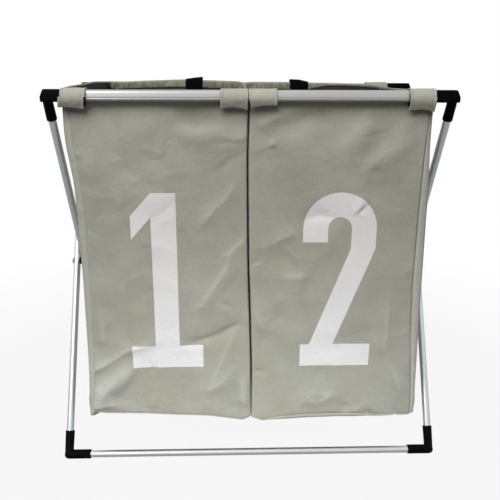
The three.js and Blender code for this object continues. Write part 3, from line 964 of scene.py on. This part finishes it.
def ringNormals(x, y):
    # outward direction of each point in its level ring
    dx = np.roll(x, -1, axis=-1) - np.roll(x, 1, axis=-1)
    dy = np.roll(y, -1, axis=-1) - np.roll(y, 1, axis=-1)
    size = np.maximum(np.hypot(dx, dy), 1e-6)
    return dy / size, -dx / size


def footEdge(side, x, y, z, panels):
    # rows that turn the cloth in under the foot seam, the lowest first
    nx, ny = (easedRing(part) for part in ringNormals(x, y))
    size = np.maximum(np.hypot(nx, ny), 1e-6)
    below = np.interp(np.clip(x, 0, bag["footEnd"]), *zip(*bag["footDrop"][side]))
    drop = easedRing(np.where(np.isin(panels, ("front", "strip")), below, bag["otherDrop"]), 2)
    return [
        (x - nx / size * inset, y - ny / size * inset, z - drop * share)
        for share, inset in bag["footProfile"]
    ]


def floorRows(edge, centre):
    # rings that close the floor, the innermost first
    rows = []
    for step in range(bag["floorRings"], 0, -1):
        scale = 1 - step / (bag["floorRings"] + 1)
        fx = centre + (edge[0] - centre) * scale
        fy = edge[1] * scale
        wave = sum(height * smoothNoise(fx, fy, size, seed) for height, size, seed in bag["floorWaves"])
        level = edge[2].mean() * (1 - scale**3) + edge[2] * scale**3
        rows.append((fx, fy, level + wave * (1 - scale**6)))
    return rows


def makeBag(side, digit):
    sign = -1 if side == "left" else 1
    flat, z, panels = bagGrid(side)
    x, y, wearAndStripLight = addRelief(side, sign, flat, z, panels)
    footRows = footEdge(side, x[0], y[0], z[0], panels)
    front = panels == "front"
    groove, wide = bag["footGroove"]
    y[:, front] += groove * np.exp(-(((z - z[0]) / wide) ** 2))[:, front]
    # and the stitched groove beside the back corner
    start = list(panels).index("back")
    for step, share in ((-1, 0.5), (0, 1.0), (1, -0.35)):
        y[:, start + step] -= share * bag["groove"]
    steps = np.hypot(*(np.diff(flat[..., i], axis=1) for i in (0, 1)))
    rows, columns = x.shape
    walked = np.concatenate([np.zeros((rows, 1)), np.cumsum(steps, axis=1)], axis=1)
    u = sign * (flat[:, :1, 0] + walked)
    whole = sign * (flat[:, 0, 0] + walked[:, -1] + 4)
    nx, ny = ringNormals(x, y)
    centre = x[0].mean()
    stack = floorRows(footRows[0], centre) + footRows
    allX, allY, allZ = (np.vstack([row[i] for row in stack] + [part]) for i, part in enumerate((x, y, z)))
    extra = len(stack)
    allU = np.vstack([u[:1]] * extra + [u])
    under = [-bag["floorPitch"] * ring - bag["footTurn"] for ring in range(bag["floorRings"], 0, -1)]
    under += [-bag["footTurn"] * share for share, _ in bag["footProfile"]]
    below = np.array(under)[:, None] + np.zeros((extra, columns))
    allV = np.vstack([below + z[:1].min(), z])
    points = np.stack([sign * allX, allY, allZ], axis=-1).reshape(-1, 3)
    faces = gridFaces(rows + extra, columns, closed=True)
    uv = gridUv(allU, allV, rows + extra, columns, closed=True, closeAt=float(whole.mean()))
    # the middle of the floor
    hub = len(points)
    points = np.vstack([points, [[sign * centre, 0, float(stack[0][2].mean())]]])
    faces += [(hub, (c + 1) % columns, c) for c in range(columns)]
    uv = np.vstack([uv, np.zeros((3 * columns, 2))])
    if sign < 0:
        faces, uv = turnOver(faces, uv)
    made = makeMesh("cloth_bag_" + side, points, faces, [bagCloth(side, digit), lining], uv=uv)
    attribute = made.data.attributes.new("foldWearAndStripLight", "FLOAT", "POINT")
    allWearAndStripLight = np.concatenate([np.zeros(extra * columns), wearAndStripLight.ravel(), [0]])
    attribute.data.foreach_set("value", allWearAndStripLight.astype(np.float32))
    thicken(made, bag["shell"], inner=1)
    attachBag(made, "bag_" + side)
    return {"x": sign * x, "y": y, "z": z, "nx": sign * nx, "ny": ny, "panels": panels, "sign": sign}


def attachBag(made, *replaced):
    # the cloth goes with the inner frame, which holds the front bar
    setPiece(made, "greige_cloth", "inner_frame", *replaced)
    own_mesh(made)


bagShapes = {side: makeBag(side, digit) for side, digit in (("left", 1), ("right", 2))}
print("bags made")


# loops, tapes and straps round the two top bars
loop = {
    "thickness": 1.0,
    "across": (0, 0.5, 1.1, 1.9, 2.7, 3.5, 4.6, 7, 11, 15, 19),  # millimetres in from a side edge
    "edgeRoll": (-0.25, 0.25, 0.4, 0.3, -0.1, -0.3, -0.05, 0.1, 0.15, 0.2, 0.2),
    "stitchInset": 3.3,
    # outward of the bar's axis and above it: from the seam, inside the front and behind the back, to the bar,
    # then over the bar to the free end
    "start": {
        "front": [(-14.0, -24), (-13.6, -12), (-12.6, 2), (-10.6, 7.6)],
        "back": [(-8.8, -2.5), (-8.8, 1), (-8.8, 3.8), (-8.5, 6.6)],
    },
    "inner": [
        (-6.6, 9.2), (0, 9.2), (4.2, 8.9), (7.2, 7.0), (9.2, 3.2), (9.9, -1.0), (9.2, -5.4), (7.4, -9.4),
        (5.0, -13.2), (2.6, -17), (0.8, -20.6), (0, -24),
    ],
    "outer": [
        (-6.8, 9.8), (0, 9.8), (4.8, 9.5), (8.0, 7.5), (9.9, 3.4), (10.4, -1.4), (9.7, -6.0), (7.9, -10.0),
        (5.4, -13.8), (2.9, -17.5), (1.0, -21), (0.1, -24),
    ],
    # left edge and right edge on top of the bar, in front of it and at the free end;
    # then the free end's height
    "front": {
        "outer_left": ((-278.5, -281.2, -285.0), (-243.3, -245.2, -248.0), (-15.6, -16.2, -18.6)),
        "inner_left": ((-45.8, -46.4, -46.4), (-6.2, -6.4, -7.4), (-17.6, -15.8, -19.5)),
        "inner_right": ((-4.2, -4.7, -0.4), (36.3, 36.5, 36.6), (-17.0, -12.9, -12.3)),
        "outer_right": ((233.5, 234.4, 235.0), (271.5, 272.5, 273.2), (-20.3, -18.2, -22.6)),
    },
    "back": {
        "outer_left": ((-279.5, -280.5, -281.0), (-241.0, -241.4, -242.0), (-16.5, -15.5, -17.5)),
        "inner_left": ((-44.0, -44.6, -45.0), (-5.0, -5.2, -5.5), (-17.0, -15.5, -16.5)),
        "inner_right": ((-2.4, -2.0, -1.5), (38.0, 38.3, 39.0), (-16.5, -15.5, -18.0)),
        "outer_right": ((234.5, 235.0, 235.5), (274.0, 275.8, 276.5), (-17.5, -15.5, -16.5)),
    },
    "tuck": 275.5,  # the run inside the bag stays within this distance of the middle
}
tape = {
    "thickness": 0.5,
    # from the bar's axis: the elbow's arm stands out further than the bar
    "stand": {"inner": 7.4, "outer": 7.95},
    # from the loop's left edge and from its right edge to the tape's own; where the tape shows beyond a loop
    # it is a thin black line, and in the gap between the two inner loops it stands in for shade
    "edgeSlipAndShade": {
        "outer_left": (2.0, 0.5),
        "inner_left": (-0.9, -2.0),
        # painted shade: this tape's left edge reaches into the gap between the inner loops
        "inner_right": (-1.2, 0.3),
        "outer_right": (2.0, -2.0),
    },
}


def smoothPath(points):
    # a soft curve through the points, with the length walked at each of its steps
    points = np.array(points, float)
    padded = np.vstack([2 * points[0] - points[1], points, 2 * points[-1] - points[-2]])
    fine = []
    for a, b, c, d in zip(padded, padded[1:], padded[2:], padded[3:]):
        for t in np.linspace(0, 1, 24, endpoint=False):
            bend = (2 * a - 5 * b + 4 * c - d) * t**2
            fine.append(0.5 * (2 * b + (c - a) * t + bend + (3 * b - a - 3 * c + d) * t**3))
    fine = np.array(fine + [points[-1]])
    return fine, walkedLength(np.hypot(*np.diff(fine, axis=0).T))


def pathAt(curve, length):
    fine, walked = curve
    spot, ahead, behind = (
        np.stack([np.interp(length + shift, walked, fine[:, i]) for i in (0, 1)], axis=-1)
        for shift in (0, 0.6, -0.6)
    )
    run = ahead - behind
    run /= np.maximum(np.hypot(run[..., 0], run[..., 1]), 1e-6)[..., None]
    return spot, np.stack([-run[..., 1], run[..., 0]], axis=-1)


def lengthAtHeight(curve, height):
    # length along the front run at which it has come down to a height
    fine, walked = curve
    front = np.argmax(fine[:, 0])
    return np.interp(-np.asarray(height), -fine[front:, 1], walked[front:])


def bandPoints(curve, ends, leftEdge, rightEdge, across, rise, bar, out, rows, seed, wrinkle, flare):
    # rows along the band, columns across it; every column runs to its own end
    share = np.linspace(0, 1, rows)[:, None]
    length = ends[None, :] * share
    spot, normal = pathAt(curve, length)
    stations = (lengthAtHeight(curve, 9.0), lengthAtHeight(curve, 0.0), ends.max())
    left = np.interp(length, stations, leftEdge)
    right = np.interp(length, stations, rightEdge)
    x = left + (right - left) * across[None, :]
    x = np.where(spot[..., 0] < -3, np.clip(x, -loop["tuck"], loop["tuck"]), x)
    bulge = rise[None, :] + wrinkle * smoothNoise(x, length, 16, seed)
    bulge = bulge + 0.4 * wrinkle * smoothNoise(x, length, 6, seed + 1)
    corner = np.abs(across - 0.5)[None, :] * 2
    bulge = bulge + flare * (corner**3 - 0.3) * smoothStep(0.8, 1.0, share)
    d = spot[..., 0] + normal[..., 0] * bulge
    z = spot[..., 1] + normal[..., 1] * bulge
    return np.stack([x, bar[1] + out * d, bar[2] + z], axis=-1), x, length


def makeBand(name, points, x, length, thickness, materials, out):
    faces = gridFaces(*x.shape)
    uv = gridUv(x, length, *x.shape)
    if out < 0:
        faces, uv = turnOver(faces, uv)
    made = makeMesh(name, points.reshape(-1, 3), faces, materials, uv=uv)
    thicken(made, thickness, inner=1, offset=1)
    soften = made.modifiers.new("soft edges", "BEVEL")
    soften.width, soften.segments, soften.limit_method = 0.25 * mm, 2, "ANGLE"
    return made


def makeLoops(face, bar, out, body):
    curves = {kind: smoothPath(loop["start"][face] + loop[kind]) for kind in ("inner", "outer")}
    runs = []
    for spot, (leftEdge, rightEdge, foot) in loop[face].items():
        curve = curves[spot.split("_")[0]]
        width = rightEdge[0] - leftEdge[0]
        half = np.array(loop["across"]) / width
        half = half[half < 0.46]
        shares = np.concatenate([half, [0.5], 1 - half[::-1]])
        roll = np.array(loop["edgeRoll"][: len(half)])
        rise = np.concatenate([roll, [0.25], roll[::-1]])
        ease = (foot[0] * 0.55 + foot[1] * 0.45, foot[2] * 0.55 + foot[1] * 0.45)
        footHeight = np.interp(shares, (0, 0.14, 0.5, 0.86, 1), (foot[0], ease[0], foot[1], ease[1], foot[2]))
        ends = lengthAtHeight(curve, footHeight)
        seed = sum(map(ord, face + spot))
        band = bandPoints(
            curve, ends, leftEdge, rightEdge, shares, rise, bar, out,
            rows=58, seed=seed, wrinkle=0.3, flare=0.9,
        )
        points = band[0]
        name = face + "_loop_" + spot
        made = makeBand("cloth_" + name, *band, loop["thickness"], [greige, lining], out)
        setPiece(made, "greige_cloth", body, name)
        makeTape(name, spot, curve, leftEdge, rightEdge, foot, bar, out, body)
        inset = loop["stitchInset"] / width
        for share in (inset, 1 - inset):
            line = [[np.interp(share, shares, row[:, i]) for i in range(3)] for row in points[26:57]]
            runs.append(np.array(line))
        runs.append(points[-3][3:-3])
    made = makeStitches("stitches_%s_loops" % face, runs, bar, out)
    setPiece(made, "greige_cloth", body)


def makeTape(name, spot, loopCurve, leftEdge, rightEdge, foot, bar, out, body):
    # black hook tape under the free end: it closes the loop below the bar and reaches the bag
    under = max(foot) + 1.6
    at = tape["stand"][spot.split("_")[0]]
    low, turn = (pathAt(loopCurve, lengthAtHeight(loopCurve, z))[0][0] for z in (-8.0, under + 1.4))
    curve = smoothPath([
        (at, 6), (at + 0.1, 1.5), (at, -3.5), (min(at, low - 0.9), -8.0), (turn - 1.4, under + 1.4),
        (turn - 4.2, under), (-4, under), (-8.0, under + 0.3), (-8.9, under + 2.2), (-8.9, -3),
    ])
    left, right = (
        [x + shift for x in edge] for edge, shift in zip((leftEdge, rightEdge), tape["edgeSlipAndShade"][spot])
    )
    ends, shares = np.full(9, curve[1][-1]), np.linspace(0, 1, 9)
    band = bandPoints(
        curve, ends, left, right, shares, np.zeros(9), bar, out, rows=34, seed=7, wrinkle=0.1, flare=0
    )
    made = makeBand("tape_" + name, *band, tape["thickness"], [webbingBlack, webbingBlack], out)
    setPiece(made, "black_webbing", body)


def makeStitches(name, runs, bar, out, pitch=3.1, length=2.2, width=0.5, lift=1.45, material=greigeThread):
    # each stitch is a small pointed lozenge laid along its line
    points, faces = [], []
    for run in runs:
        walked = walkedLength(np.linalg.norm(np.diff(run, axis=0), axis=1))
        for start in np.arange(1.2, walked[-1] - length, pitch):
            a, b = (
                np.array([np.interp(at, walked, run[:, i]) for i in range(3)])
                for at in (start, start + length)
            )
            along = (b - a) / max(np.linalg.norm(b - a), 1e-6)
            side = np.cross(along, (0, out, 0.001))
            side /= max(np.linalg.norm(side), 1e-6)
            if abs(along[0]) > 0.7:
                side = np.array([0, 0, 1.0])
            up = np.cross(side, along)
            if up @ (0, a[1] - bar[1], a[2] - bar[2]) < 0:
                up = -up
            base = len(points)
            a, b = a + up * (lift - 0.15), b + up * (lift - 0.15)
            centre, half = (a + b) / 2, side * width / 2
            points += [a, centre + half, b, centre - half, centre + up * 0.32, centre - up * 0.2]
            for p, q in ((0, 1), (1, 2), (2, 3), (3, 0)):
                faces += [(base + p, base + q, base + 4), (base + q, base + p, base + 5)]
    return makeMesh(name, points, faces, [material])


makeLoops("front", frontBar, -1, "inner_frame")
makeLoops("back", backBar, 1, "outer_frame")
print("loops made")


strap = {
    "thickness": 1.5,
    # side edges, then how far the top rises from the left to the right
    "left": ((-118.3, -86.0), (0.0, 2.4, 3.9)),
    "right": ((84.4, 119.4), (-0.1, -0.6, -4.6)),
    # outward of the back bar's axis and above it, from inside the bag over the rim and the bar
    "path": [
        (-13.4, -13), (-13.3, 2), (-12.6, 9.5), (-9.5, 14.2), (-3, 14.6), (4, 13.2), (8.6, 9.0), (9.0, 2),
        (9.0, -8), (8.6, -22),
    ],
    # columns across it: share of its width, rise
    "across": [
        (0, -0.15), (0.03, 0.1), (0.08, 0.2), (0.2, 0.05), (0.35, 0), (0.5, 0), (0.65, 0), (0.8, 0.05),
        (0.92, 0.2), (0.97, 0.1), (1, -0.15),
    ],
    "stitches": {"pitch": 2.6, "length": 1.9, "width": 0.4, "lift": 0.2},
}


def makeStrap(side):
    curve = smoothPath(strap["path"])
    (left, right), lift = strap[side]
    shares, rise = (np.array(part) for part in zip(*strap["across"]))
    stop = np.full(len(shares), curve[1][-1])
    points, x, length = bandPoints(
        curve, stop, [left] * 3, [right] * 3, shares, rise, backBar, 1,
        rows=56, seed=5, wrinkle=0.12, flare=0,
    )
    height = points[..., 2] - backBar[2]
    points[..., 2] += np.interp(shares, (0, 0.5, 1), lift)[None, :] * smoothStep(-4, 13, height)
    materials = [webbingBlack, webbingBlack]
    made = makeBand("webbing_strap_" + side, points, x, length, strap["thickness"], materials, 1)
    setPiece(made, "black_webbing", "outer_frame", "back_strap_" + side)
    runs = [points[3][1:-1], points[8][1:-1]]
    made = makeStitches(
        "stitches_strap_" + side, runs, backBar, -1, material=blackThread, **strap["stitches"]
    )
    setPiece(made, "black_webbing", "outer_frame")


for side in ("left", "right"):
    makeStrap(side)
print("straps made")


# hems: the cloth turned over the rim and stitched down inside
hem = {
    "thickness": 0.5,
    "backSwing": 1.8,  # the hem ripples this much more along the back
    # height of the band inside each panel: position along the panel, height
    "left": {
        "front": [(0, 14), (1, 14)],
        "side": [(0, 12), (0.12, 2.4), (1, 2.4)],
        "back": [(0, 13), (1, 14)],
        "inner": [(0, 14), (1, 14)],
        "seed": 71,
    },
    "right": {
        "front": [(0, 14), (1, 14)],
        "side": [(0, 13), (0.8, 10), (1, 4)],
        "back": [(0, 5), (0.1, 5.5), (0.3, 4.2), (0.42, 5), (0.56, 13), (1, 14)],
        "inner": [(0, 14), (1, 14)],
        "seed": 83,
    },
    # over the rim: out from the cloth's outer face, below the rim, share of the ripple
    "over": [
        (0.75, -3.0, 0.1), (0.85, -1.0, 0.15), (0.6, 0.35, 0.2), (-0.6, 0.75, 0.2), (-1.7, 0.3, 0.3),
        (-2.0, -1.4, 0.5),
    ],
    # and down the inside: share of the band, share of the ripple
    "inside": [(0.3, 1.0), (0.5, 1.15), (0.7, 1.0), (0.88, 0.55), (1.0, 0.2)],
    "ripples": ((0.8, 16), (0.5, 7)),  # height and length
    "uneven": (0.06, 30),  # the band's height changes by this share, over this length
    "rowPitch": 2.2,  # cloth from one row to the next
}


def makeHem(side):
    shape, own = bagShapes[side], hem[side]
    x, y, z = (shape[key][-1] for key in "xyz")
    x2, y2, z2 = (shape[key][-8] for key in "xyz")
    nx, ny = shape["nx"][-1], shape["ny"][-1]
    panels, columns = shape["panels"], len(x)
    drops = np.zeros(columns)
    for panel in ("front", "side", "back", "inner"):
        pick = panels == panel
        drops[pick] = np.interp(np.linspace(0, 1, pick.sum()), *zip(*own[panel]))
    drops[panels == "strip"] = own["front"][-1][1]
    drops[panels == "backStrip"] = own["back"][0][1]
    drops = easedRing(drops, 1)
    along, seed = walkedLength(np.hypot(np.diff(x), np.diff(y))), own["seed"]
    flat = np.zeros(columns)
    waves = enumerate(hem["ripples"], seed)
    ripple = sum(height * smoothNoise(along, flat, size, at) for at, (height, size) in waves)
    swing = easedRing(np.where(panels == "back", hem["backSwing"], 1.0))
    ripple = ripple * swing + 1.3 * (swing - 1)
    uneven, size = hem["uneven"]
    drops = drops * (1 + uneven * smoothNoise(along, flat, size, seed + 2))
    out, down, share = hem["over"][-1]
    rows = [(a, np.full(columns, b), c) for a, b, c in hem["over"]]
    rows += [(out, down - (drops + down) * part, share) for part, share in hem["inside"]]
    points = []
    for out, down, share in rows:
        push = out - ripple * share * 0.75
        slope = np.clip(-down, 0, 30) / np.maximum(z - z2, 1)
        px = x + (x2 - x) * slope + nx * push
        py = y + (y2 - y) * slope + ny * push
        points.append(np.stack([px, py, z + down], axis=-1))
    count = len(points)
    u = np.repeat(along[None, :], count, axis=0)
    v = walkedLength(np.full(count - 1, hem["rowPitch"]))[:, None] + np.zeros((1, columns))
    faces = gridFaces(count, columns, closed=True)
    uv = gridUv(u, v, count, columns, closed=True, closeAt=along[-1] + 4)
    if shape["sign"] < 0:
        faces, uv = turnOver(faces, uv)
    made = makeMesh("hem_bag_" + side, np.array(points).reshape(-1, 3), faces, [hemShadedCloth], uv=uv)
    thicken(made, hem["thickness"])
    attachBag(made)


for side in ("left", "right"):
    makeHem(side)
print("hems made")


# the stage: pale floor, white surroundings
studio = {
    "size": 14,
    "floor": 0.13,
    "ambient": 0.04,
    "gloss": (0.42, 0.88, 0.9),  # what gloss sees of the floor at hand, of the rest of it and of the room
    "lift": 0.91,  # share of plain white that the camera sees in the floor
    "clear": (0.45, 1.3),  # metres from the middle over which the floor turns all white
    "sink": 0.0185,  # the floor would end this far below when the frame is folded
}
# soft lamps: kind, place, aim, size, power
lamps = {
    "key": ("AREA", (-0.5, -1.6, 2.15), (0, 0, 0.35), 1.7, 67),
    "fill": ("AREA", (1.6, -1.9, 0.9), (0, 0, 0.35), 1.4, 1.4),
    # a wide low beam, which leaves the top of the bags in the softer light
    "low": ("SPOT", (-0.1, -1.7, 0.9), (0.02, -0.15, -0.75), 0.3, 172),
    # seen in gloss alone: it lights the tubes more from the left
    "sheen": ("AREA", (-1.0, -1.5, 1.3), (-0.1, 0, 0.5), 0.9, 15),
    # two that light the sides and the back, below the rim and behind the front
    "backLeft": ("AREA", (-1.7, 1.1, 0.5), (0, 0.15, 0.3), 1.0, 32),
    "backRight": ("AREA", (1.7, 1.1, 0.5), (0, 0.15, 0.3), 1.0, 32),
}
beam = {"cone": 49, "blend": 0.4, "tint": (0.9, 0.94, 1)}


def backgroundRays(tree):
    # rays that look straight at the background, and rays that see it in a reflection
    path = addNode(tree, "ShaderNodeLightPath")
    straight = calc(tree, "MAXIMUM", path.outputs["Is Camera Ray"], path.outputs["Is Transmission Ray"])
    return straight, path.outputs["Is Glossy Ray"]


def makeStage():
    size = studio["size"] / mm
    corners = [(-size, -size, 0), (size, -size, 0), (size, size, 0), (-size, size, 0)]
    material, tree, shader = newMaterial("paleFloor")
    floor = makeMesh("floor", corners, [(0, 1, 2, 3)], [material])
    shader.inputs["Base Color"].default_value = (studio["floor"],) * 3 + (1,)
    shader.inputs["Roughness"].default_value = 0.9
    spot = addNode(tree, "ShaderNodeTexCoord").outputs["Object"]
    away = addNode(tree, "ShaderNodeVectorMath", {0: spot}, operation="LENGTH").outputs["Value"]
    straight, glossy = backgroundRays(tree)
    shine = calc(tree, "MAXIMUM", straight, rampUp(tree, away, 1.0, 2.0, *studio["gloss"][:2]))
    glow = addNode(tree, "ShaderNodeEmission", {"Color": (1, 1, 1, 1), "Strength": shine})
    share = times(tree, straight, rampUp(tree, away, *studio["clear"], studio["lift"], 1.0))
    share = calc(tree, "MAXIMUM", share, times(tree, glossy, studio["lift"]))
    mix = addNode(tree, "ShaderNodeMixShader", {0: share, 1: shader.outputs[0], 2: glow.outputs[0]})
    tree.links.new(mix.outputs[0], tree.nodes["Material Output"].inputs["Surface"])
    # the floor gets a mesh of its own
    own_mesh(floor)
    world = bpy.data.worlds.new("studio")
    world.use_nodes = True
    tree = world.node_tree
    straight, glossy = backgroundRays(tree)
    strength = calc(tree, "MULTIPLY_ADD", straight, 1 - studio["ambient"], studio["ambient"])
    strength = calc(tree, "MULTIPLY_ADD", glossy, studio["gloss"][2] - studio["ambient"], strength)
    tree.links.new(strength, tree.nodes["Background"].inputs["Strength"])
    tree.nodes["Background"].inputs["Color"].default_value = (1, 1, 1, 1)
    bpy.context.scene.world = world


def makeLamp(name, kind, at, aim, size, power):
    data = bpy.data.lights.new(name, kind)
    data.energy = power
    if kind == "AREA":
        data.shape, data.size = "DISK", size
    else:
        data.shadow_soft_size, data.spot_size = size, math.radians(beam["cone"])
        data.spot_blend, data.color = beam["blend"], beam["tint"]
    seat = bpy.data.objects.new(name, data)
    seat.location = at
    seat.rotation_euler = (Vector(aim) - Vector(at)).to_track_quat("-Z", "Y").to_euler()
    seat.visible_glossy = name == "sheen"  # otherwise gloss sees the pale room alone
    seat.visible_diffuse = name != "sheen"
    bpy.context.scene.collection.objects.link(seat)


makeStage()
for name, lamp in lamps.items():
    makeLamp(name, *lamp)
print("stage and lamps set")
